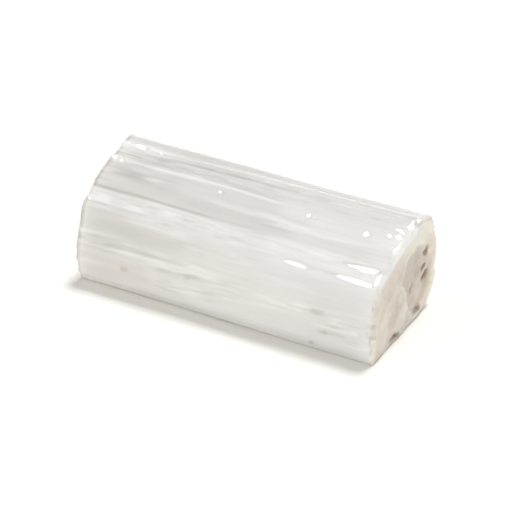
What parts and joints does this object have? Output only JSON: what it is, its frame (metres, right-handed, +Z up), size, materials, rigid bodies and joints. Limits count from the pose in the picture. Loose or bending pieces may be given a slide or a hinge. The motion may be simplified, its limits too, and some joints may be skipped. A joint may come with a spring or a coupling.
{
  "type": "selenite crystal blade",
  "caption": "Short lengthwise-ribbed log of fibrous selenite, broken across at both ends, lying on its flattened underside.",
  "frame": {"origin": "centre of the bounding box's bottom face, on the surface that the log lies on", "axes": "+X along the fibres, towards the end whose broken face the picture shows; +Z up, away from the resting face; -Y is the front"},
  "size_m": [0.102, 0.0464, 0.0372],
  "materials": {
    "selenite": "silky, milky translucent"
  },
  "bodies": {
    "root": {"crystal": "selenite"}
  },
  "joints": []
}
